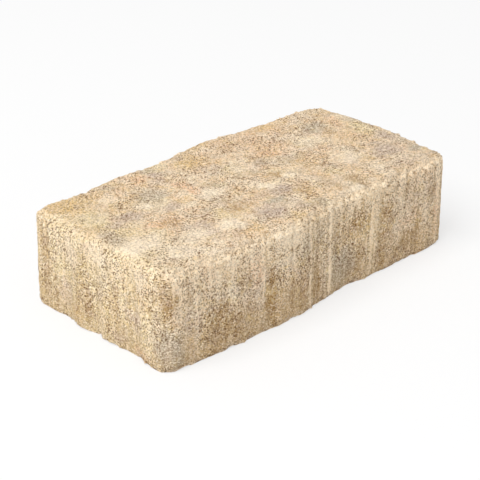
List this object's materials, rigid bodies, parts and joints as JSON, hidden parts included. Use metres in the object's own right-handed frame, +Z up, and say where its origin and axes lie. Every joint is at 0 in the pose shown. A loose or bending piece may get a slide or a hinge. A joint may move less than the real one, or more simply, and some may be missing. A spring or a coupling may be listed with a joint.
{
  "type": "concrete paving stone",
  "caption": "Rectangular pressed concrete paving stone with fluted upright sides, a rolled top edge and a flat foot.",
  "frame": {"origin": "middle of the stone's foot, on the ground it lies on", "axes": "+X along the stone's length, +Y across its width, +Z up through its thickness"},
  "size_m": [0.2, 0.104, 0.051],
  "materials": {
    "concrete": "matte"
  },
  "bodies": {
    "root": {"paving_stone": "concrete"}
  },
  "joints": []
}
